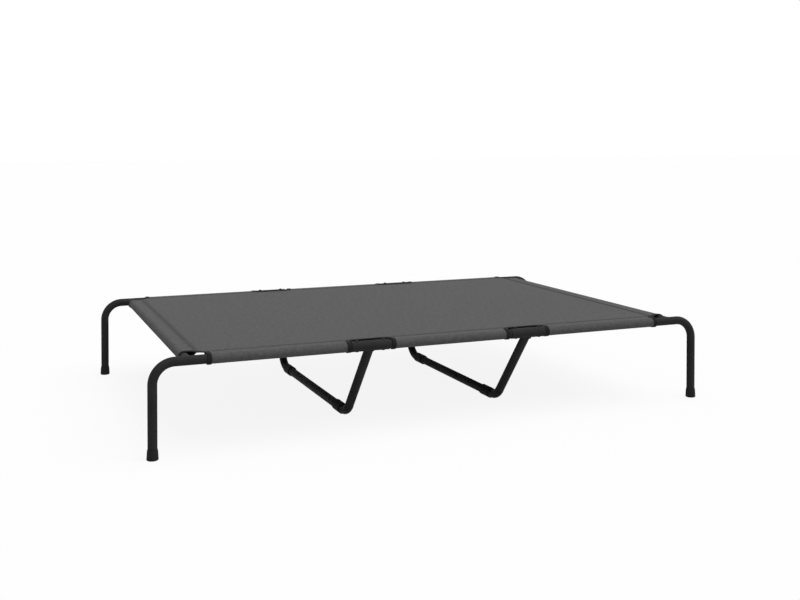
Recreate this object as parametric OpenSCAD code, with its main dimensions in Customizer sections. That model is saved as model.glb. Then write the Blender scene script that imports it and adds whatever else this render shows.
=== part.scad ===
// Raised dog cot: a plug-together frame of steel tube that holds a sewn cloth cover tight.
// Sizes are in millimetres. X runs along the length, Y across the width and Z up from the floor.
// Front is -Y and left is -X. Each piece is drawn once, on the rear right, and mirrored to the others.

/* [Overall] */
// Length over the legs
cot_l = 1300; // [1100:10:1500]
// Width over the side rails
cot_w = 800; // [650:10:1000]
// Height of the cloth over the side rails
cot_h = 198; // [170:1:260]

/* [Legs and rails] */
// Outer diameter of the legs and the rails
tube_d = 19; // [17:0.5:21]
// Wall thickness of every tube
tube_wall = 1.2; // [1:0.1:1.5]
// Bend radius of a leg, to the middle of its tube
leg_bend_r = 43; // [36:1:55]
// Distance from a leg to the end rail beside it
end_inset = 67.5; // [60:0.5:80]
// Distance from a leg to its joint with the side rail
leg_run_l = 170; // [150:5:200]
// Distance from a side rail to the joint of a branch with the end rail
branch_l = 80; // [70:5:110]
// Length of a spigot
spigot_l = 40; // [30:1:50]
// Clearance around a spigot
spigot_gap = 0.15; // [0.1:0.05:0.3]

/* [Foot caps] */
// Height of a foot cap
cap_h = 20; // [18:1:30]
// Thickness of a foot cap under the leg
cap_floor = 4; // [3:0.5:6]
// Wall of a foot cap at its widest
cap_wall = 2.05; // [1.8:0.05:3]
// Wall of a foot cap at its top edge
cap_lip = 0.8; // [0.6:0.1:1.2]
// Height of the flare at the top of a foot cap
cap_flare_h = 6; // [4:0.5:8]
// Edge break under a foot cap
cap_break = 1.2; // [0.5:0.1:1.5]
// Clearance of a foot cap around the leg
cap_gap = 0.1; // [0.05:0.05:0.2]

/* [Support frames] */
// Distance of a support frame from the middle
support_x = 189; // [160:1:230]
// Outer diameter of the support tube
support_d = 20; // [18:0.5:22]
// Length of the floor bar between its bends
bar_l = 446; // [380:2:520]
// Bend radius at the foot of an upright, to the middle of the tube
support_bend_r = 50; // [40:1:60]
// How much slimmer an upright is, on the radius, than the bend that it is welded into
upright_step = 0.2; // [0.1:0.05:0.4]
// Length of a tee
tee_l = 85; // [75:1:100]
// Wall of a tee
tee_wall = 1.3; // [1:0.1:2]
// Clearance of a rail inside a tee
socket_gap = 0.2; // [0.1:0.05:0.3]
// Space between the two rail ends inside a tee
rail_space = 9; // [4:1:16]
// Diameter of the vent between a tee and its upright
vent_d = 8; // [5:0.5:12]

/* [Grips] */
// Length of a grip
grip_l = 43; // [30:1:60]
// Wall of a grip
grip_wall = 2.15; // [1.5:0.05:3.5]
// Clearance of a grip around the bar
grip_gap = 0.1; // [0.05:0.05:0.2]
// Distance of a grip from the bend beside it
grip_inset = 4; // [1:1:20]
// Edge break at a grip's ends
grip_break = 0.8; // [0.3:0.1:1.2]

/* [Screws] */
// Distance of a screw from the end of its tee
screw_inset = 13; // [9:0.5:16]
// Diameter of a screw's shank
screw_d = 3.4; // [2.8:0.1:4]
// Diameter of a screw's heads
head_d = 7; // [6:0.5:9]
// Height of a screw's upper head
head_h = 1.6; // [1:0.1:2]
// Height of the low head that closes a screw under its tee
lower_head_h = 0.6; // [0.4:0.1:1]
// Length of the cross recess in a screw's upper head
recess_l = 4; // [3:0.5:5]
// Width of the cross recess
recess_w = 0.8; // [0.6:0.1:1.2]
// Depth of the cross recess
recess_depth = 0.6; // [0.3:0.1:0.7]
// Clearance of a screw in its hole
screw_gap = 0.1; // [0.05:0.05:0.2]

/* [Cloth] */
// Thickness of the cloth
cloth_t = 0.6; // [0.4:0.1:1]
// Clearance of a sleeve around its rail
sleeve_gap = 0.2; // [0.1:0.05:0.4]
// Distance of the seam from the middle of the rail
seam_in = 24; // [24:0.5:34]
// Width of the hem under the panel
hem_w = 12; // [8:0.5:16]
// Distance from an end rail to the mouth of a side sleeve
side_mouth = 38.5; // [32:0.5:50]
// Distance from a side rail to the mouth of an end sleeve
end_mouth = 31; // [26:0.5:50]
// Bare rail on either side of a tee
notch_play = 5; // [3:0.5:8]
// Clearance of a notch's edges from the tee and the upright
notch_gap = 4; // [2:0.1:5]
// Corner radius of a notch
notch_r = 12; // [8:1:14]

/* [Bindings] */
// Width of the binding tape
tape_w = 8.5; // [7:0.5:11]
// Thickness of the binding tape
tape_t = 0.6; // [0.4:0.1:1]
// Clearance between the tape and the cloth
tape_gap = 0.1; // [0.05:0.05:0.2]

/* [Hidden] */
$fn = 64;

steel_colour = "#2a2a2a";
rubber_colour = "#1c1c1c";
screw_colour = "#343434";
cloth_colour = "#616161";
tape_colour = "#171717";

// Radii of the tubes, outside and inside
tube_r = tube_d / 2;
bore_r = tube_r - tube_wall;
spigot_r = bore_r - spigot_gap;
spigot_bore_r = spigot_r - tube_wall;
support_r = support_d / 2;
support_bore_r = support_r - tube_wall;
socket_r = tube_r + socket_gap;
tee_r = socket_r + tee_wall;
grip_bore_r = support_r + grip_gap;
grip_r = grip_bore_r + grip_wall;

// Radii of the cloth around a rail, and of the tape around the cloth
sleeve_bore_r = tube_r + sleeve_gap;
sleeve_r = sleeve_bore_r + cloth_t;
tape_bore_r = sleeve_r + tape_gap;
tape_r = tape_bore_r + tape_t;

// Places of the tubes' middles
leg_x = cot_l / 2 - tube_r;
rail_y = cot_w / 2 - tube_r;
rail_z = cot_h - sleeve_r;
end_x = leg_x - end_inset;
joint_x = leg_x - leg_run_l;
joint_y = rail_y - branch_l;
bar_z = grip_r;

// Places along a tee
tee_out_x = support_x + tee_l / 2;
tee_in_x = support_x - tee_l / 2;
side_rail_end_x = support_x + rail_space / 2;
centre_rail_end_x = support_x - rail_space / 2;
outer_screw_x = tee_out_x - screw_inset;
inner_screw_x = tee_in_x + screw_inset;

// A support frame's path: the floor bar, a bend, then an upright that aims at the middle of the rail
rail_from_bend = [rail_y - bar_l / 2, rail_z - bar_z - support_bend_r];
bend_turn = atan2(rail_from_bend.y, rail_from_bend.x) + asin(support_bend_r / norm(rail_from_bend));
upright_l = sqrt(rail_from_bend * rail_from_bend - pow(support_bend_r, 2));
upright_lean = 90 - bend_turn;
upright_r = support_r - upright_step;
// Length of an upright inside the bend, short enough to stay within the bend's wall
upright_lap = sqrt(support_bend_r * upright_step);
grip_end_y = bar_l / 2 - grip_inset;

// The sleeve's section, across and above the rail's middle: one line runs level from the top of the tube
// to the seam, where the panel starts, and one slants up to the seam from under the tube
panel_low = sleeve_r - cloth_t;
hem_low = panel_low - cloth_t;
upper_angle = 90;
lower_angle = atan2(hem_low, seam_in) - acos(sleeve_r / norm([seam_in, hem_low]));
// Straight steps that make up the round of a sleeve's section, and a corner of a notch
arc_steps = 24;
corner_steps = 8;
// The layers of a sleeve are told apart at this height inside a notch, with a small lap
layer_split = hem_low;
split_lap = cloth_t;
seam_x = end_x - seam_in;
seam_y = rail_y - seam_in;

// Edges of the cut-outs
cut_x = end_x - side_mouth;
cut_y = rail_y - end_mouth;
notch_half_l = tee_l / 2 + notch_play;
notch_top_edge = tee_r + notch_gap;
// Where the upright's upper side meets the sleeve's lower layer
upright_edge = (sleeve_r * sin(upright_lean) - upright_r * sin(lower_angle)) / sin(upright_lean - lower_angle);
notch_low_edge = upright_edge + notch_gap + tape_gap + tape_t;
notch_low_tape_w = min(tape_w, seam_in - cloth_t - notch_low_edge);

// Long enough to cut past every piece of cloth
past = 3 * seam_in;

// Puts a piece that is drawn on the rear right at the side or corner given by its signs
module at_side(x_sign, y_sign) {
    mirror([x_sign < 0 ? 1 : 0, 0, 0])
        mirror([0, y_sign < 0 ? 1 : 0, 0])
            children();
}

// A rod along X from one place to another
module rod_x(r, from_x, to_x) {
    translate([from_x, 0, 0]) rotate([0, 90, 0]) cylinder(r = r, h = to_x - from_x);
}

// A rod along Y from one place to another
module rod_y(r, from_y, to_y) {
    translate([0, to_y, 0]) rotate([90, 0, 0]) cylinder(r = r, h = to_y - from_y);
}

// The run of a leg's tube at one radius: up from the floor, round the bend and along the side
module leg_run(r, foot_z) {
    translate([leg_x, rail_y, foot_z])
        cylinder(r = r, h = rail_z - leg_bend_r - foot_z);
    translate([leg_x - leg_bend_r, rail_y, rail_z - leg_bend_r])
        rotate([90, 0, 0])
            rotate_extrude(angle = 90)
                translate([leg_bend_r, 0]) circle(r = r);
    translate([0, rail_y, rail_z]) rod_x(r, joint_x, leg_x - leg_bend_r);
}

// The branch that stands on the side of a leg's run, with its spigot
module branch() {
    translate([end_x, 0, rail_z]) difference() {
        union() {
            rod_y(tube_r, joint_y, rail_y);
            rod_y(spigot_r, joint_y - spigot_l, joint_y);
        }
        rod_y(bore_r, joint_y + tube_wall, rail_y);
        rod_y(spigot_bore_r, joint_y - spigot_l, rail_y);
    }
}

module corner_leg() {
    color(steel_colour) difference() {
        union() {
            leg_run(tube_r, cap_floor);
            translate([0, rail_y, rail_z]) rod_x(spigot_r, joint_x - spigot_l, joint_x);
            branch();
        }
        difference() {
            leg_run(bore_r, cap_floor);
            translate([0, rail_y, rail_z]) rod_x(tube_r, joint_x, joint_x + tube_wall);
        }
        translate([0, rail_y, rail_z]) rod_x(spigot_bore_r, joint_x - spigot_l, joint_x + 2 * tube_wall);
    }
}

module foot_cap() {
    inner_r = tube_r + cap_gap;
    outer_r = inner_r + cap_wall;
    flare_r = (outer_r + inner_r + cap_lip) / 2;
    color(rubber_colour) translate([leg_x, rail_y, 0]) rotate_extrude() polygon([
        [0, 0],
        [outer_r - cap_break, 0],
        [outer_r, cap_break],
        [flare_r, cap_h - cap_flare_h],
        [inner_r + cap_lip, cap_h],
        [inner_r, cap_h],
        [inner_r, cap_floor],
        [0, cap_floor]
    ]);
}

// A straight rail along X, with a screw hole through it at each of the places listed
module straight_rail(from_x, to_x, screw_places) {
    color(steel_colour) translate([0, rail_y, rail_z]) difference() {
        rod_x(tube_r, from_x, to_x);
        rod_x(bore_r, from_x, to_x);
        for (x = screw_places) screw_hole(x);
    }
}

module side_rail() {
    straight_rail(side_rail_end_x, joint_x, [outer_screw_x]);
}

module centre_rail() {
    straight_rail(-centre_rail_end_x, centre_rail_end_x, [-inner_screw_x, inner_screw_x]);
}

module end_rail() {
    color(steel_colour) translate([end_x, 0, rail_z]) difference() {
        rod_y(tube_r, -joint_y, joint_y);
        rod_y(bore_r, -joint_y, joint_y);
    }
}

// A hole for a screw, right through a tee or a rail
module screw_hole(x) {
    translate([x, 0, -tee_r]) cylinder(d = screw_d + 2 * screw_gap, h = 2 * tee_r);
}

// The run of a support frame's tube at one radius, from one rail to the other, with slimmer uprights
module support_run(r) {
    translate([0, 0, bar_z]) rod_y(r, -bar_l / 2, bar_l / 2);
    for (y_sign = [-1, 1]) at_side(1, y_sign)
        translate([0, bar_l / 2, bar_z + support_bend_r]) rotate([90, 0, 90]) {
            rotate([0, 0, -90]) rotate_extrude(angle = bend_turn) translate([support_bend_r, 0]) circle(r = r);
            rotate([0, 0, -upright_lean]) translate([support_bend_r, -upright_lap, 0])
                rotate([-90, 0, 0]) cylinder(r = r - upright_step, h = upright_l + upright_lap);
        }
}

module support_frame() {
    color(steel_colour) translate([support_x, 0, 0]) difference() {
        union() {
            difference() {
                support_run(support_r);
                support_run(support_bore_r);
            }
            for (y = [-rail_y, rail_y])
                translate([0, y, rail_z]) rod_x(tee_r, -tee_l / 2, tee_l / 2);
        }
        for (y_sign = [-1, 1]) at_side(1, y_sign) translate([0, rail_y, rail_z]) {
            rod_x(socket_r, -tee_l / 2, tee_l / 2);
            rotate([180 - upright_lean, 0, 0]) cylinder(d = vent_d, h = 2 * tee_r);
            screw_hole(outer_screw_x - support_x);
            screw_hole(inner_screw_x - support_x);
        }
    }
}

module grip() {
    color(rubber_colour) translate([support_x, grip_end_y, bar_z]) rotate([90, 0, 0])
        rotate_extrude() polygon([
            [grip_bore_r, 0],
            [grip_r - grip_break, 0],
            [grip_r, grip_break],
            [grip_r, grip_l - grip_break],
            [grip_r - grip_break, grip_l],
            [grip_bore_r, grip_l]
        ]);
}

// A head of this height on top of a tee; the head's underside follows the tee
module screw_head(h) {
    head_break = h / 2;
    difference() {
        union() {
            cylinder(d = head_d, h = tee_r + h - head_break);
            translate([0, 0, tee_r + h - head_break])
                cylinder(d1 = head_d, d2 = head_d - 2 * head_break, h = head_break);
        }
        rod_x(tee_r, -head_d, head_d);
    }
}

// A screw right through a tee and its rail, with a cross recess in its upper head and a low head underneath
module tee_screw(x) {
    color(screw_colour) translate([x, rail_y, rail_z]) difference() {
        union() {
            screw_head(head_h);
            mirror([0, 0, 1]) screw_head(lower_head_h);
            translate([0, 0, -tee_r]) cylinder(d = screw_d, h = 2 * tee_r);
        }
        for (turn = [0, 90]) translate([0, 0, tee_r + head_h]) rotate([0, 0, turn])
            cube([recess_l, recess_w, 2 * recess_depth], center = true);
    }
}

function on_circle(r, angle) = [r * cos(angle), r * sin(angle)];

// The point where the line that touches the circle at this angle is at a distance across from the rail
function on_line(r, angle, across) = [across, (r - across * cos(angle)) / sin(angle)];

// Where the two lines that touch the circle of this radius meet
function line_meeting(r) =
    [r * (sin(lower_angle) - sin(upper_angle)), r * (cos(upper_angle) - cos(lower_angle))]
    / sin(lower_angle - upper_angle);

// The round of the cloth over the rail, from where the upper line touches it to where the lower one does
function round_over(r) =
    [for (i = [0 : arc_steps]) on_circle(r, upper_angle + i * (360 + lower_angle - upper_angle) / arc_steps)];

function backwards(points) = [for (i = [len(points) - 1 : -1 : 0]) points[i]];

// The outside of a sleeve, from the top of the seam over the rail and back to the underside of the seam
function around(r) =
    concat([on_line(r, upper_angle, seam_in)], round_over(r), [on_line(r, lower_angle, seam_in)]);

// The section of a sleeve: closed round the rail, with its hem flat under the panel
module sleeve_section() {
    hem_end = seam_in + hem_w;
    difference() {
        polygon(concat(around(sleeve_r), [[hem_end, hem_low], [hem_end, panel_low], [seam_in, panel_low]]));
        polygon(concat([line_meeting(sleeve_bore_r)], round_over(sleeve_bore_r)));
    }
}

// The section of the tape on the outside of a sleeve
module tape_section() {
    polygon(concat(around(tape_r), backwards(around(tape_bore_r))));
}

// A section across the rear side rail, drawn out to both sides of the middle
module along_side(half_l) {
    translate([half_l, rail_y, rail_z]) rotate([90, 0, -90]) linear_extrude(2 * half_l) children();
}

// A section across the right end rail, drawn out to both sides of the middle
module along_end(half_l) {
    translate([end_x, half_l, rail_z]) rotate([90, 0, 0]) linear_extrude(2 * half_l) mirror([1, 0]) children();
}

// The corner that is cut away, seen from above, or moved inwards by the width of the tape
module corner_plan(inset) {
    start = [cut_x, rail_y - sleeve_r];
    finish = [end_x - sleeve_r, cut_y];
    along = (finish - start) / norm(finish - start);
    inward = [along.y, -along.x];
    slant = inward * start + inset;
    mouth_x = cut_x - inset;
    mouth_y = cut_y - inset;
    polygon([
        [mouth_x, rail_y + past],
        [mouth_x, (slant - inward.x * mouth_x) / inward.y],
        [(slant - inward.y * mouth_y) / inward.x, mouth_y],
        [end_x + past, mouth_y],
        [end_x + past, rail_y + past]
    ]);
}

// A notch seen from above: a slot from outside the rail to an edge inside it, with rounded corners
module notch_plan(half_l, edge, r) {
    right_side = concat(
        [[half_l, past]],
        [for (i = [0 : corner_steps]) [half_l - r, r - edge] + on_circle(r, -90 * i / corner_steps)]
    );
    left_side = [for (p = backwards(right_side)) [-p.x, p.y]];
    translate([support_x, rail_y]) polygon(concat(right_side, left_side));
}

// A plan drawn out over the whole height of the sleeves, or above or below the split between their layers
module whole_height() {
    translate([0, 0, rail_z - past]) linear_extrude(2 * past) children();
}

module upper_half() {
    translate([0, 0, rail_z + layer_split]) linear_extrude(past) children();
}

module lower_half() {
    translate([0, 0, rail_z + layer_split - past]) linear_extrude(past + split_lap) children();
}

// The flat panel between the seams, with its corners cut off beside the tape
module cloth_panel() {
    color(cloth_colour) translate([0, 0, rail_z + panel_low]) linear_extrude(cloth_t) difference() {
        square([2 * seam_x, 2 * seam_y], center = true);
        for (x_sign = [-1, 1], y_sign = [-1, 1]) at_side(x_sign, y_sign) corner_plan(tape_w + tape_gap);
    }
}

// The sleeve of a long side: cloth round the rails, cut away at the corners and round the tees.
// Its lower layer ends straight across at the mouths
module side_sleeve() {
    color(cloth_colour) difference() {
        along_side(seam_x) sleeve_section();
        for (x_sign = [-1, 1]) at_side(x_sign, 1) {
            whole_height() corner_plan(0);
            whole_height() translate([seam_x - hem_w, 0]) square([past, seam_y]);
            lower_half() translate([cut_x, 0]) square([past, rail_y + past]);
            upper_half() notch_plan(notch_half_l, notch_top_edge, notch_r);
            lower_half() notch_plan(notch_half_l, notch_low_edge, notch_r);
        }
    }
}

// The sleeve of an end, cut away in the same way, with its hem cut off beside the side sleeves
module end_sleeve() {
    color(cloth_colour) difference() {
        along_end(rail_y - sleeve_r) sleeve_section();
        for (y_sign = [-1, 1]) at_side(1, y_sign) {
            whole_height() corner_plan(0);
            whole_height() translate([0, seam_y]) square([seam_x, past]);
            lower_half() translate([0, cut_y]) square([end_x + past, past]);
        }
    }
}

// Tape round the edge of a corner's cut-out, on the outside of both sleeves and on the panel
module corner_binding() {
    color(tape_colour) difference() {
        intersection() {
            union() {
                along_side(end_x - sleeve_r) tape_section();
                along_end(rail_y - sleeve_r) tape_section();
                translate([0, 0, rail_z + tape_bore_r])
                    linear_extrude(tape_t) square([seam_x, seam_y]);
            }
            union() {
                upper_half() difference() {
                    corner_plan(tape_w);
                    corner_plan(0);
                }
                lower_half() {
                    translate([cut_x - tape_w, 0]) square([tape_w, rail_y + past]);
                    translate([0, cut_y - tape_w]) square([end_x + past, tape_w]);
                }
            }
        }
        along_side(end_x) polygon(around(tape_bore_r));
        along_end(rail_y) polygon(around(tape_bore_r));
    }
}

// Tape round the edge of a notch, over the sleeve's upper layer, round its mouths and under its lower layer
module notch_binding() {
    color(tape_colour) intersection() {
        along_side(end_x) tape_section();
        union() {
            upper_half() difference() {
                notch_plan(notch_half_l + tape_w, notch_top_edge + tape_w, notch_r + tape_w);
                notch_plan(notch_half_l, notch_top_edge, notch_r);
            }
            lower_half() difference() {
                notch_plan(notch_half_l + tape_w, notch_low_edge + notch_low_tape_w, notch_r);
                notch_plan(notch_half_l, notch_low_edge, notch_r);
            }
        }
    }
}

for (x_sign = [-1, 1], y_sign = [-1, 1]) {
    place = str(y_sign < 0 ? "front" : "rear", x_sign < 0 ? "_left" : "_right");
    at_side(x_sign, y_sign) corner_leg();
    at_side(x_sign, y_sign) foot_cap();
    at_side(x_sign, y_sign) side_rail();
    at_side(x_sign, y_sign) grip();
    at_side(x_sign, y_sign) tee_screw(outer_screw_x);
    at_side(x_sign, y_sign) tee_screw(inner_screw_x);
    at_side(x_sign, y_sign) corner_binding();
    at_side(x_sign, y_sign) notch_binding();
}
for (x_sign = [-1, 1]) {
    place = x_sign < 0 ? "left" : "right";
    at_side(x_sign, 1) end_rail();
    at_side(x_sign, 1) support_frame();
    at_side(x_sign, 1) end_sleeve();
}
for (y_sign = [-1, 1]) {
    place = y_sign < 0 ? "front" : "rear";
    at_side(1, y_sign) centre_rail();
    at_side(1, y_sign) side_sleeve();
}
cloth_panel();
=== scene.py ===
import math

import bmesh
import bpy
from mathutils import Matrix, Vector


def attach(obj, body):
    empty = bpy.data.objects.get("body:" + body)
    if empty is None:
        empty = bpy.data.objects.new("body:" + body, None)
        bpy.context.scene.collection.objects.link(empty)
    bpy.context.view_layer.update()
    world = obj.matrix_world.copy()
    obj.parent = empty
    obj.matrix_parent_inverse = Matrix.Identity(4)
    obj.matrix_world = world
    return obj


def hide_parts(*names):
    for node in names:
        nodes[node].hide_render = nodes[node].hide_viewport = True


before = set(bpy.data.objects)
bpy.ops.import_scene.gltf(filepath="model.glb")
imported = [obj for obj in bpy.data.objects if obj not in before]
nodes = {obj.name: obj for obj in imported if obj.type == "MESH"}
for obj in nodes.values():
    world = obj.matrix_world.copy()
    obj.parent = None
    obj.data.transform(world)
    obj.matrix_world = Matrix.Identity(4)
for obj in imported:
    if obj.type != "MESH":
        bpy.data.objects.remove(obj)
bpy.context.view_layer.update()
mm = 0.001


# Camera: it stands off the front left corner, at about three times the cot's height.
# It looks almost level through a lens shifted down, so that the legs stay upright in the picture.
bpy.ops.object.camera_add(
    location=(-0.9508, -2.3635, 0.6166),
    rotation=(math.radians(89), 0, math.radians(-22.3044)),
)
camera = bpy.context.object
camera.data.lens = 45.419
camera.data.shift_x = 0.01115
camera.data.shift_y = -0.17622
bpy.context.scene.camera = camera


# Studio: a plain pale floor that runs on into a white surround, under one wide, soft light from above.
# The floor keeps the cot's own faint shadow.
bpy.context.scene.view_settings.view_transform = "Standard"
floor_size = 60
floor_colour = (0.6, 0.6, 0.6, 1)
shadow_colour = (0.13, 0.13, 0.13, 1)
floor_lift = 0.89
surround_light = 0.25
sun_power = 1.78
sun_spread = math.radians(64)
sun_h = 3
sun_way = Vector((-0.4, 0.25, -1))


def sum_node(tree, operation, *values):
    """The result of one sum on values that are numbers or outputs of other nodes."""
    node = tree.nodes.new("ShaderNodeMath")
    node.operation = operation
    for value, socket in zip(values, node.inputs):
        if isinstance(value, bpy.types.NodeSocket):
            tree.links.new(value, socket)
        else:
            socket.default_value = value
    return node.outputs[0]


def seen_share(tree):
    """One for what the camera sees, straight, in a mirror or through glass, and nothing for other light."""
    path = tree.nodes.new("ShaderNodeLightPath")
    seen = path.outputs["Is Camera Ray"]
    for way in ("Is Glossy Ray", "Is Transmission Ray"):
        seen = sum_node(tree, "MAXIMUM", seen, path.outputs[way])
    return seen


bpy.ops.mesh.primitive_plane_add(size=floor_size)
floor = bpy.context.object
floor.name = "floor"
floor_finish = bpy.data.materials.new("floor_white")
floor_finish.use_nodes = True
tree = floor_finish.node_tree
tree.nodes.clear()
matt = tree.nodes.new("ShaderNodeBsdfDiffuse")
matt.inputs["Color"].default_value = floor_colour
shadow = tree.nodes.new("ShaderNodeBsdfDiffuse")
shadow.inputs["Color"].default_value = shadow_colour
lift = tree.nodes.new("ShaderNodeEmission")
lift.inputs["Strength"].default_value = floor_lift
shown = tree.nodes.new("ShaderNodeAddShader")
choice = tree.nodes.new("ShaderNodeMixShader")
out = tree.nodes.new("ShaderNodeOutputMaterial")
tree.links.new(shadow.outputs[0], shown.inputs[0])
tree.links.new(lift.outputs[0], shown.inputs[1])
tree.links.new(seen_share(tree), choice.inputs[0])
tree.links.new(matt.outputs[0], choice.inputs[1])
tree.links.new(shown.outputs[0], choice.inputs[2])
tree.links.new(choice.outputs[0], out.inputs["Surface"])
floor.data.materials.append(floor_finish)

surround = bpy.data.worlds.new("white_surround")
bpy.context.scene.world = surround
surround.use_nodes = True
tree = surround.node_tree
tree.nodes.clear()
strength = tree.nodes.new("ShaderNodeMapRange")
strength.inputs["To Min"].default_value = surround_light
strength.inputs["To Max"].default_value = 1
white = tree.nodes.new("ShaderNodeBackground")
white.inputs["Color"].default_value = (1, 1, 1, 1)
out = tree.nodes.new("ShaderNodeOutputWorld")
tree.links.new(seen_share(tree), strength.inputs["Value"])
tree.links.new(strength.outputs["Result"], white.inputs["Strength"])
tree.links.new(white.outputs[0], out.inputs["Surface"])

bpy.ops.object.light_add(
    type="SUN", location=(0, 0, sun_h), rotation=sun_way.to_track_quat("-Z", "Y").to_euler())
sun = bpy.context.object
sun.name = "soft_light"
sun.data.energy = sun_power
sun.data.angle = sun_spread


# Powder coat: the satin black paint that is baked on every tube, with a fine orange peel
# and patches where it lies a little thicker and duller.
paint_greys = (0.034, 0.042)
paint_patches = 38
paint_roughness = (0.58, 0.72)
paint_dull_patches = 120
orange_peel = 620
orange_peel_h = 0.06 * mm


def shader_of(name, roughness, shine):
    """A new material, with its nodes and its main shader."""
    finish = bpy.data.materials.new(name)
    finish.use_nodes = True
    shader = finish.node_tree.nodes["Principled BSDF"]
    shader.inputs["Roughness"].default_value = roughness
    shader.inputs["Specular IOR Level"].default_value = shine
    return finish, finish.node_tree, shader


def on_piece(tree):
    """Places on a piece, in metres."""
    return tree.nodes.new("ShaderNodeTexCoord").outputs["Object"]


def noise(tree, coordinates, scale, detail):
    """Soft spots, as many to the metre as the scale says."""
    texture = tree.nodes.new("ShaderNodeTexNoise")
    texture.inputs["Scale"].default_value = scale
    texture.inputs["Detail"].default_value = detail
    tree.links.new(coordinates, texture.inputs["Vector"])
    return texture.outputs["Fac"]


def between(tree, value, low, high):
    """Noise spread from a low level to a high one; it mostly lies from 0.3 to 0.7."""
    spread = tree.nodes.new("ShaderNodeMapRange")
    spread.inputs["From Min"].default_value = 0.3
    spread.inputs["From Max"].default_value = 0.7
    spread.inputs["To Min"].default_value = low
    spread.inputs["To Max"].default_value = high
    tree.links.new(value, spread.inputs["Value"])
    return spread.outputs["Result"]


def grey(tree, level, shader):
    """Gives a shader a grey of this level."""
    colour = tree.nodes.new("ShaderNodeCombineColor")
    for channel in ("Red", "Green", "Blue"):
        tree.links.new(level, colour.inputs[channel])
    tree.links.new(colour.outputs[0], shader.inputs["Base Color"])


def dulled(tree, level, shader):
    """Gives a shader a roughness of this level."""
    tree.links.new(level, shader.inputs["Roughness"])


def relief(tree, height, depth, shader):
    """Gives a shader a fine relief of this depth."""
    bump = tree.nodes.new("ShaderNodeBump")
    bump.inputs["Distance"].default_value = depth
    tree.links.new(height, bump.inputs["Height"])
    tree.links.new(bump.outputs["Normal"], shader.inputs["Normal"])


def painted(names, finish):
    """Gives the solids of these names a finish."""
    for name in names:
        for slot in nodes[name].material_slots:
            slot.material = finish


def named(start):
    """The names of all solids of one kind."""
    return sorted(name for name in nodes if name.startswith(start))


powder_coat, tree, shader = shader_of("black_powder_coat", roughness=0.65, shine=0.05)
place = on_piece(tree)
grey(tree, between(tree, noise(tree, place, paint_patches, 3), *paint_greys), shader)
dulled(tree, between(tree, noise(tree, place, paint_dull_patches, 2), *paint_roughness), shader)
relief(tree, noise(tree, place, orange_peel, 2), orange_peel_h, shader)


# Corner legs and rails: bent and straight lengths of steel tube that plug together on spigots.
# Each leg has a branch welded to its side, which takes the end rail; the bead shows round its foot.
painted(named("corner_leg") + named("side_rail") + named("centre_rail") + named("end_rail"), powder_coat)


def weld_bead(name, at, main_r, branch_r, bead_r, branch_way):
    """A ripple of weld round the foot of a branch that stands on the side of a tube along X."""
    ripples = 34
    ripple_share = 0.09
    bpy.ops.object.select_all(action="DESELECT")
    bpy.ops.mesh.primitive_torus_add(
        major_radius=branch_r, minor_radius=bead_r, major_segments=4 * ripples, minor_segments=10)
    bead = bpy.context.object
    bead.name = name
    for vertex in bead.data.vertices:
        angle = math.atan2(vertex.co.y, vertex.co.x)
        ring = Vector((math.cos(angle), math.sin(angle), 0)) * branch_r
        swell = 1 + ripple_share * math.cos(ripples * angle)
        rise = math.sqrt(main_r ** 2 - (branch_r * math.sin(angle)) ** 2)
        vertex.co = ring + (vertex.co - ring) * swell + Vector((0, 0, rise))
    along = Vector((1, 0, 0))
    way = Vector(branch_way).normalized()
    turned = Matrix((along, way.cross(along), way)).transposed().to_4x4()
    bead.data.transform(Matrix.Translation(at) @ turned)
    bpy.ops.object.shade_smooth()
    bead.data.materials.append(powder_coat)
    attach(bead, "root")


rail_y = 390.5 * mm
rail_z = 187.7 * mm
end_x = 573 * mm
tube_r = 9.5 * mm
leg_bead_ring_r = 9 * mm
leg_bead_r = 0.9 * mm
places = [(y_sign, x_sign) for y_sign in (-1, 1) for x_sign in (-1, 1)]


def place_name(y_sign, x_sign):
    return ("front" if y_sign < 0 else "rear") + ("_left" if x_sign < 0 else "_right")


for y_sign, x_sign in places:
    weld_bead(
        "leg_weld_" + place_name(y_sign, x_sign), (x_sign * end_x, y_sign * rail_y, rail_z),
        tube_r, leg_bead_ring_r, leg_bead_r, (0, -y_sign, 0))


# Foot caps and grips: black rubber mouldings pushed over the legs' ends and over the floor bars,
# matt, with a fine grain from the mould.
rubber_greys = (0.028, 0.036)
rubber_patches = 90
rubber_roughness = (0.62, 0.8)
rubber_dull_patches = 300
mould_grain = 1500
mould_grain_h = 0.08 * mm
rubber, tree, shader = shader_of("black_rubber", roughness=0.7, shine=0.06)
place = on_piece(tree)
grey(tree, between(tree, noise(tree, place, rubber_patches, 4), *rubber_greys), shader)
dulled(tree, between(tree, noise(tree, place, rubber_dull_patches, 2), *rubber_roughness), shader)
relief(tree, noise(tree, place, mould_grain, 1), mould_grain_h, shader)
painted(named("foot_cap") + named("grip"), rubber)


# Support frames: a tube bent to a wide U that stands on the floor, with a tee welded on each end.
# The rails meet inside the tees, and a bead of weld runs round the top of each upright.
painted(named("support_frame"), powder_coat)
support_x = 189 * mm
tee_r = 11 * mm
upright_r = 9.8 * mm
tee_bead_r = 2 * mm
upright_lean = math.radians(39.35)
for y_sign, x_sign in places:
    weld_bead(
        "tee_weld_" + place_name(y_sign, x_sign), (x_sign * support_x, y_sign * rail_y, rail_z),
        tee_r, upright_r, tee_bead_r, (0, -y_sign * math.sin(upright_lean), -math.cos(upright_lean)))


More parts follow.
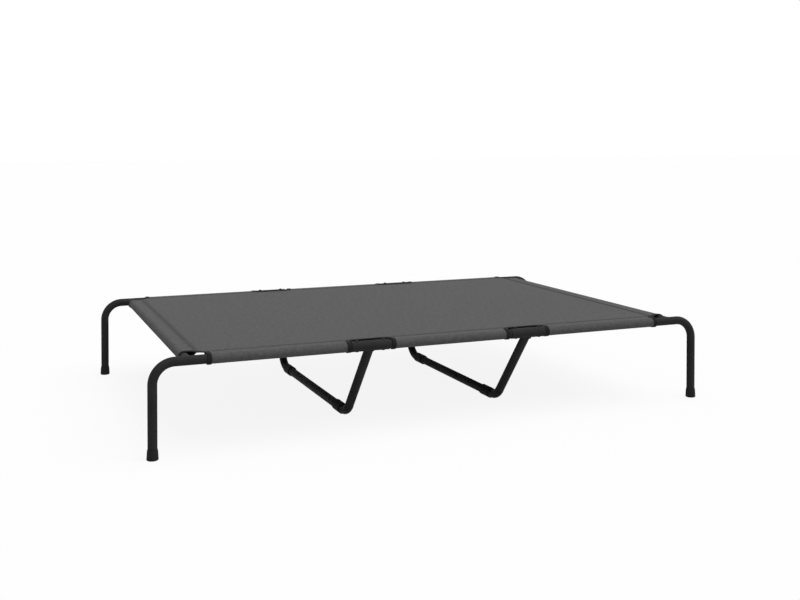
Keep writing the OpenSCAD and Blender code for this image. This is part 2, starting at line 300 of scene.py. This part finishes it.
# Screws: blackened steel with low heads, two through each tee. They go right through the rails inside
# it, so that nothing pulls out of the tee.
screw_greys = (0.022, 0.032)
screw_patches = 900
screw_roughness = (0.44, 0.6)
screw_dull_patches = 1600
blackened, tree, shader = shader_of("blackened_steel", roughness=0.5, shine=0.1)
place = on_piece(tree)
grey(tree, between(tree, noise(tree, place, screw_patches, 3), *screw_greys), shader)
dulled(tree, between(tree, noise(tree, place, screw_dull_patches, 2), *screw_roughness), shader)
painted(named("outer_screw") + named("inner_screw"), blackened)


# Cloth cover: one cut of plain-woven cloth with a flap on each side. Each flap goes over its rail,
# comes back underneath and is sewn to the panel inside the rail. The corners and the places of the
# four tees are cut out, and every cut edge is bound with tape.
seam_in = 24 * mm
seam_x = end_x - seam_in
seam_y = rail_y - seam_in
cloth_t = 0.5 * mm
sleeve_r = 10.05 * mm
panel_h = sleeve_r
side_hem_h = panel_h - 0.7 * mm
end_hem_h = panel_h - 1.4 * mm
hem_w = 12 * mm
sag = 2.5 * mm
seam_dip = 0.6 * mm
seam_dip_w = 5 * mm
gather_h = 0.4 * mm
gather_pitch = 7.5 * mm
gather_pitch_step = 1.3 * mm
gather_reach = 16 * mm
# Steps of the cloth's mesh: fine within this reach of the cut edges, and wide elsewhere
fine_step = 2.4 * mm
fine_reach = 26 * mm
wide_step = 13 * mm
longest_share = 1.4
# Rows of the mesh on a flap: before the rail, round it, back to the seam and in the hem
flap_steps = (7, 20, 7, 3)
# How far the panel runs on past both seams at a corner
corner_patch = 9 * mm
cut_x = end_x - 38.5 * mm
cut_y = rail_y - 31 * mm
slant_in = 10.3 * mm
notch_half = 47.5 * mm
notch_r = 16 * mm
notch_steps = 4
notch_top = 15 * mm
notch_low = 18.25 * mm
# How far the left and the right edge of each notch have slipped along the rail
notch_slips = {
    "front_left": (3 * mm, 0), "front_right": (-1.5 * mm, -4.5 * mm),
    "rear_left": (2.6 * mm, 2.6 * mm), "rear_right": (-1.8 * mm, -1.8 * mm)}
# How much further in the right end is sewn than the other sides; the painted shade along that seam moves
# with it
right_seam_shift = 8 * mm
tape_w = 8.5 * mm
trim = 0.8 * mm


def dip(away):
    """How far the stitches draw the cloth down at a distance from the seam."""
    return seam_dip * math.exp(-(away / seam_dip_w) ** 2)


def on_rail(angle):
    """A place on the cloth round a rail, across from the rail's middle and above it."""
    return Vector((math.cos(angle), math.sin(angle))) * sleeve_r


def flap_lengths(hem_h):
    """Angles where a flap meets and leaves the rail, and its lengths before, round and after the rail."""
    start = Vector((seam_in, panel_h))
    end = Vector((seam_in, hem_h))
    first = math.atan2(start.y, start.x) + math.acos(sleeve_r / start.length)
    last = math.tau + math.atan2(end.y, end.x) - math.acos(sleeve_r / end.length)
    over = math.sqrt(start.length_squared - sleeve_r ** 2)
    back = math.sqrt(end.length_squared - sleeve_r ** 2)
    return first, last, over, sleeve_r * (last - first), back


def folded(run, hem_h):
    """Where a place at this distance past the seam lies across from the rail and above it."""
    first, last, over, wrap, back = flap_lengths(hem_h)
    if run < over:
        return Vector((seam_in, panel_h)).lerp(on_rail(first), run / over) - Vector((0, dip(run)))
    if run < over + wrap:
        return on_rail(first + (run - over) / sleeve_r)
    if run < over + wrap + back:
        return on_rail(last).lerp(Vector((seam_in, hem_h)), (run - over - wrap) / back)
    return Vector((seam_in + run - over - wrap - back, hem_h))


def flap_runs(hem_h):
    """Distances past the seam of the rows of a flap, close together round the rail."""
    first, last, over, wrap, back = flap_lengths(hem_h)
    runs = []
    start = 0
    for length, steps in zip((over, wrap, back, hem_w), flap_steps):
        runs += [start + length * i / steps for i in range(1, steps + 1)]
        start += length
    return runs


def panel_places(last, marks):
    """Places from one seam to the other, close together near the mouths of the sleeves."""
    half = [0]
    while half[-1] < last:
        near = min(abs(half[-1] - mark) for mark in marks)
        step = fine_step if near < fine_reach else wide_step
        half.append(last if half[-1] + longest_share * step > last else half[-1] + step)
    return [-place for place in reversed(half[1:])] + half


def gathers(along, marks):
    """Height of the small folds that run out from the cut edges of a sleeve."""
    height = 0
    for i, mark in enumerate(marks):
        away = abs(abs(along) - mark)
        wave = 0.5 - 0.5 * math.cos(math.tau * away / (gather_pitch + gather_pitch_step * i))
        height += wave * math.exp(-away / gather_reach)
    return gather_h * height


side_marks = [support_x - notch_half, support_x + notch_half, cut_x]
end_marks = [cut_y]


def flap_point(run, hem_h, along, marks):
    """A place on a flap, like folded, with the small folds at the cut edges added."""
    nudge = 0.1 * mm
    first, last, over, wrap, back = flap_lengths(hem_h)
    point = folded(run, hem_h)
    ahead = folded(run + nudge, hem_h) - folded(run - nudge, hem_h)
    outward = Vector((ahead.y, -ahead.x)).normalized()
    share = min(1, max(0, run / over)) * min(1, max(0, (over + wrap + back - run) / back))
    return point + outward * gathers(along, marks) * share


def cloth_point(x, y):
    """Where a place of the flat cut comes to lie on the cot, or nothing outside the cut."""
    x_run = abs(x) - seam_x
    y_run = abs(y) - seam_y
    if x_run <= 0 and y_run <= 0:
        slack = (1 - (x / seam_x) ** 2) * (1 - (y / seam_y) ** 2)
        return Vector((x, y, rail_z + panel_h - sag * slack - dip(max(x_run, y_run))))
    if x_run > 0 and y_run > 0:
        if max(x_run, y_run) > corner_patch:
            return None
        x_fold = folded(x_run, end_hem_h)
        y_fold = folded(y_run, side_hem_h)
        return Vector((
            math.copysign(end_x - x_fold.x, x), math.copysign(rail_y - y_fold.x, y),
            rail_z + min(x_fold.y, y_fold.y)))
    if y_run > 0:
        fold = flap_point(y_run, side_hem_h, x, side_marks)
        return Vector((x, math.copysign(rail_y - fold.x, y), rail_z + fold.y))
    fold = flap_point(x_run, end_hem_h, y, end_marks)
    return Vector((math.copysign(end_x - fold.x, x), y, rail_z + fold.y))


end_runs = flap_runs(end_hem_h)
side_runs = flap_runs(side_hem_h)
columns = [-seam_x - run for run in reversed(end_runs)]
columns += panel_places(seam_x, side_marks) + [seam_x + run for run in end_runs]
rows = [-seam_y - run for run in reversed(side_runs)]
rows += panel_places(seam_y, end_marks) + [seam_y + run for run in side_runs]

cloth = bmesh.new()
cut = cloth.loops.layers.uv.new("flat_cut")
grid = {}
for i, x in enumerate(columns):
    for j, y in enumerate(rows):
        point = cloth_point(x, y)
        if point is not None:
            grid[i, j] = cloth.verts.new(point)
for i in range(len(columns) - 1):
    for j in range(len(rows) - 1):
        ring = [(i, j), (i + 1, j), (i + 1, j + 1), (i, j + 1)]
        if all(corner in grid for corner in ring):
            face = cloth.faces.new([grid[corner] for corner in ring])
            for loop, corner in zip(face.loops, ring):
                loop[cut].uv = (columns[corner[0]], rows[corner[1]])
cloth.normal_update()


def flat_middle(face):
    """The middle of a face of the cloth, on the flat cut."""
    middle = Vector((0, 0))
    for loop in face.loops:
        middle += loop[cut].uv
    return middle / len(face.loops)


def corner_sides(y_sign, x_sign):
    """The sides of a corner's cut-out, seen from above: a point on each and the way into it."""
    start = Vector((cut_x, rail_y - slant_in))
    finish = Vector((end_x - slant_in, cut_y))
    along = (finish - start).normalized()
    sides = [(start, Vector((1, 0))), (finish, Vector((0, 1))), (start, Vector((-along.y, along.x)))]
    signs = Vector((x_sign, y_sign))
    return [(point * signs, way * signs) for point, way in sides]


def notch_sides(y_sign, x_sign, edge):
    """The sides of a tee's cut-out, seen from above, with its corners rounded in steps."""
    sides = []
    signs = Vector((x_sign, y_sign))
    for side, slip in zip((-x_sign, x_sign), notch_slips[place_name(y_sign, x_sign)]):
        centre = Vector((support_x + side * (notch_half - notch_r), rail_y - edge + notch_r))
        for step in range(notch_steps + 1):
            angle = math.radians(90 / notch_steps * step)
            way = Vector((-side * math.cos(angle), math.sin(angle)))
            sides.append(((centre - way * notch_r) * signs + Vector((slip, 0)), way * signs))
    return sides


def inside(place, sides):
    """How far a place seen from above is inside a cut-out; less than nothing outside it."""
    return min((place - point).dot(way) for point, way in sides)


def turning_run(hem_h):
    """Distance past the seam at which a flap is outermost and turns back under its rail."""
    first, last, over, wrap, back = flap_lengths(hem_h)
    return over + sleeve_r * (math.pi - first)


def is_top(face):
    """Whether a face lies in the panel or on the upper side of a flap."""
    x, y = flat_middle(face)
    return abs(x) - seam_x < turning_run(end_hem_h) and abs(y) - seam_y < turning_run(side_hem_h)


def under_side(y_sign):
    """A test for the faces of a side flap that lie under its rail."""
    return lambda face: y_sign * flat_middle(face).y - seam_y > turning_run(side_hem_h)


def under_end(x_sign):
    """A test for the faces of an end flap that lie under its rail."""
    return lambda face: x_sign * flat_middle(face).x - seam_x > turning_run(end_hem_h)


cut_outs = {}
for y_sign, x_sign in places:
    spot = place_name(y_sign, x_sign)
    side_mouth, end_mouth, slant = corner_sides(y_sign, x_sign)
    cut_outs["corner_", spot] = [
        ([side_mouth, end_mouth, slant], is_top),
        ([side_mouth], under_side(y_sign)),
        ([end_mouth], under_end(x_sign))]
    cut_outs["notch_", spot] = [
        (notch_sides(y_sign, x_sign, notch_top), is_top),
        (notch_sides(y_sign, x_sign, notch_low), under_side(y_sign))]

same_place = 1e-7
bands = {}
offcuts = []
for spot, layers in cut_outs.items():
    bands[spot] = []
    for sides, in_layer in layers:
        parts = []
        for face in cloth.faces:
            if inside(face.calc_center_median().xy, sides) > -2 * tape_w and in_layer(face):
                parts += [face, *face.edges, *face.verts]
        for point, way in sides:
            for inset in (0, trim, tape_w):
                at = point - way * inset
                parts = bmesh.ops.bisect_plane(
                    cloth, geom=list(set(parts)), dist=same_place,
                    plane_co=(at.x, at.y, 0), plane_no=(way.x, way.y, 0))["geom"]
        for face in parts:
            if isinstance(face, bmesh.types.BMFace):
                depth = inside(face.calc_center_median().xy, sides)
                if -tape_w < depth < 0:
                    bands[spot].append(face)
                if depth > -trim:
                    offcuts.append(face)


def band_mesh(faces):
    """A copy of some of the cloth's faces, as a piece of its own."""
    band = bmesh.new()
    band_cut = band.loops.layers.uv.new("flat_cut")
    copies = {}
    for face in faces:
        for vertex in face.verts:
            if vertex not in copies:
                copies[vertex] = band.verts.new(vertex.co)
        twin = band.faces.new([copies[vertex] for vertex in face.verts])
        for loop, old_loop in zip(twin.loops, face.loops):
            loop[band_cut].uv = old_loop[cut].uv
    return band


def sheet_piece(name, shape, thickness, edge_round):
    """The finished piece: given its thickness, its edges rounded, and shaded smooth."""
    edge_angle = math.radians(50)
    smooth_angle = math.radians(40)
    mesh = bpy.data.meshes.new(name)
    shape.to_mesh(mesh)
    shape.free()
    piece = bpy.data.objects.new(name, mesh)
    bpy.context.scene.collection.objects.link(piece)
    bpy.ops.object.select_all(action="DESELECT")
    piece.select_set(True)
    bpy.context.view_layer.objects.active = piece
    thick = piece.modifiers.new("thickness", "SOLIDIFY")
    thick.thickness = thickness
    thick.offset = 0
    bpy.ops.object.modifier_apply(modifier=thick.name)
    if edge_round > 0:
        rounding = piece.modifiers.new("rounding", "BEVEL")
        rounding.width = edge_round
        rounding.segments = 2
        rounding.limit_method = "ANGLE"
        rounding.angle_limit = edge_angle
        bpy.ops.object.modifier_apply(modifier=rounding.name)
    bpy.ops.object.shade_smooth_by_angle(angle=smooth_angle)
    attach(piece, "root")
    return piece


tape_shapes = {spot: band_mesh(faces) for spot, faces in bands.items()}
bmesh.ops.delete(cloth, geom=list(set(offcuts)), context="FACES")
cover = sheet_piece("cloth_cover", cloth, cloth_t, 0)

cloth_greys = (0.068, 0.155)
thread_pitch = 1.3 * mm
weave_h = 0.12 * mm
streak_l = 14 * mm
streak_w = 1.6 * mm
mottle_patches = 110
# Shares of the weft, the warp, the mottle and the weave in the cloth's unevenness
uneven_shares = (0.3, 0.18, 0.33, 0.19)
# Painted shade: bands of darker colour along the seams stand in for the shade in the creases, deepest at
# the right end
painted_crease_w = 12 * mm
painted_crease_shade = 0.65
right_painted_crease_shade = 0.4
painted_crease_shades = (
    ("X", -seam_x, painted_crease_shade), ("X", seam_x - right_seam_shift, right_painted_crease_shade),
    ("Y", -seam_y, painted_crease_shade), ("Y", seam_y, painted_crease_shade))
woven, tree, shader = shader_of("grey_woven_cloth", roughness=0.85, shine=0.15)


def on_cut(tree):
    """Places on the flat cut of the cloth, in metres."""
    flat = tree.nodes.new("ShaderNodeUVMap")
    flat.uv_map = "flat_cut"
    return flat.outputs[0]


def weave(tree, flat, pitch):
    """Height of a plain weave: threads one way and the other, over and under in turn."""
    split = tree.nodes.new("ShaderNodeSeparateXYZ")
    tree.links.new(flat, split.inputs[0])
    threads = []
    for axis in ("X", "Y"):
        turns = sum_node(tree, "MULTIPLY", split.outputs[axis], math.pi / pitch)
        threads.append(sum_node(tree, "ABSOLUTE", sum_node(tree, "SINE", turns)))
    over_under = tree.nodes.new("ShaderNodeTexChecker")
    over_under.inputs["Scale"].default_value = 1 / pitch
    tree.links.new(flat, over_under.inputs["Vector"])
    height = tree.nodes.new("ShaderNodeMix")
    tree.links.new(over_under.outputs["Fac"], height.inputs["Factor"])
    tree.links.new(threads[0], height.inputs["A"])
    tree.links.new(threads[1], height.inputs["B"])
    return height.outputs["Result"]


def streaks(tree, flat, lengthwise, crosswise):
    """Uneven dye along the threads: noise drawn out along one way of the cloth."""
    stretch = tree.nodes.new("ShaderNodeMapping")
    stretch.inputs["Scale"].default_value = (1 / lengthwise, 1 / crosswise, 1)
    tree.links.new(flat, stretch.inputs["Vector"])
    return noise(tree, stretch.outputs[0], 1, 2)


def sum_of(tree, values, shares):
    """Several values added up, each by its share."""
    total = 0
    for value, share in zip(values, shares):
        total = sum_node(tree, "MULTIPLY_ADD", value, share, total)
    return total


def painted_seam_shade(tree, flat):
    """Painted shade: the share of the cloth's colour that shows, darkened in bands along the seams where
    the creased cloth would lie in shade.
    """
    split = tree.nodes.new("ShaderNodeSeparateXYZ")
    tree.links.new(flat, split.inputs[0])
    share = 1
    for axis, seam, shade in painted_crease_shades:
        away = sum_node(tree, "ABSOLUTE", sum_node(tree, "SUBTRACT", split.outputs[axis], seam))
        fade = tree.nodes.new("ShaderNodeMapRange")
        fade.interpolation_type = "SMOOTHSTEP"
        fade.inputs["From Max"].default_value = painted_crease_w
        fade.inputs["To Min"].default_value = shade
        fade.inputs["To Max"].default_value = 1
        tree.links.new(away, fade.inputs["Value"])
        share = sum_node(tree, "MULTIPLY", share, fade.outputs["Result"])
    return share


flat = on_cut(tree)
cloth_weave = weave(tree, flat, thread_pitch)
weft = streaks(tree, flat, streak_l, streak_w)
warp = streaks(tree, flat, streak_w, streak_l)
mottle = noise(tree, flat, mottle_patches, 3)
unevenness = sum_of(tree, (weft, warp, mottle, cloth_weave), uneven_shares)
cloth_grey = between(tree, unevenness, *cloth_greys)
# The cloth's grey, darkened by the painted shade along the seams
grey(tree, sum_node(tree, "MULTIPLY", cloth_grey, painted_seam_shade(tree, flat)), shader)
relief(tree, cloth_weave, weave_h, shader)
cover.data.materials.append(woven)
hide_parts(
    "cloth_panel", "side_sleeve_front", "side_sleeve_rear", "end_sleeve_left", "end_sleeve_right")


# Seam: a row of lockstitches along each side of the panel, which holds the flap's hem underneath.
# The thread is black and lies in the crease of the cloth.
thread_greys = (0.012, 0.02)
fibre_spots = 2500
thread, tree, shader = shader_of("black_thread", roughness=0.7, shine=0.5)
grey(tree, between(tree, noise(tree, on_piece(tree), fibre_spots, 2), *thread_greys), shader)
stitch_pitch = 4.5 * mm
stitch_size = (3.4 * mm, 0.9 * mm, 0.5 * mm)
stitch_h = rail_z + panel_h + cloth_t / 2
row_end = 12 * mm


def stitch_row(name, start, way, length):
    """A row of stitches from a place, along one way of the cloth."""
    bpy.ops.object.select_all(action="DESELECT")
    bpy.ops.mesh.primitive_uv_sphere_add(
        segments=8, ring_count=5, radius=0.5, rotation=(0, math.pi / 2, 0))
    row = bpy.context.object
    row.name = name
    bpy.ops.object.transform_apply()
    row.data.transform(Matrix.Diagonal((*stitch_size, 1)))
    if way.y:
        row.data.transform(Matrix.Rotation(math.pi / 2, 4, "Z"))
    row.data.transform(Matrix.Translation(start + way * stitch_pitch / 2))
    repeat = row.modifiers.new("repeat", "ARRAY")
    repeat.count = round(length / stitch_pitch)
    repeat.use_relative_offset = False
    repeat.use_constant_offset = True
    repeat.constant_offset_displace = way * stitch_pitch
    bpy.ops.object.modifier_apply(modifier=repeat.name)
    bpy.ops.object.shade_smooth()
    row.data.materials.append(thread)
    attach(row, "root")
    return row


for sign, side in ((-1, "front"), (1, "rear")):
    start = Vector((row_end - seam_x, sign * seam_y, stitch_h - dip(0)))
    stitch_row(
        "seam_stitches_" + side, start, Vector((1, 0, 0)), 2 * (seam_x - row_end) - right_seam_shift)
for sign, side, shift in ((-1, "left", 0), (1, "right", right_seam_shift)):
    start = Vector((sign * (seam_x - shift), row_end - seam_y, stitch_h - dip(shift)))
    stitch_row(
        "seam_stitches_" + side, start, Vector((0, 1, 0)), 2 * (seam_y - row_end))


# Bindings: black ribbed tape folded over the cut edges of the cover, at its corners and round the tees.
# It wraps both sides of the cloth, so it stands a little proud of the sleeves.
tape_lift = 0.7 * mm
tape_t = 1.7 * mm
tape_edge = 0.5 * mm
rib_pitch = 0.9 * mm
rib_h = 0.15 * mm
tape_greys = (0.02, 0.03)
tape_spots = 400
# Shares of the spots and the ribs in the tape's unevenness
tape_shares = (0.7, 0.3)
ribbed, tree, shader = shader_of("black_ribbed_tape", roughness=0.75, shine=0.05)
flat = on_cut(tree)
ribs = weave(tree, flat, rib_pitch)
tape_grey = sum_of(tree, (noise(tree, flat, tape_spots, 2), ribs), tape_shares)
grey(tree, between(tree, tape_grey, *tape_greys), shader)
relief(tree, ribs, rib_h, shader)
for (kind, spot), shape in tape_shapes.items():
    shape.normal_update()
    for vertex in shape.verts:
        vertex.co += vertex.normal * tape_lift
    tape = sheet_piece(kind + "tape_" + spot, shape, tape_t, tape_edge)
    tape.data.materials.append(ribbed)
    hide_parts(kind + "binding_" + spot)
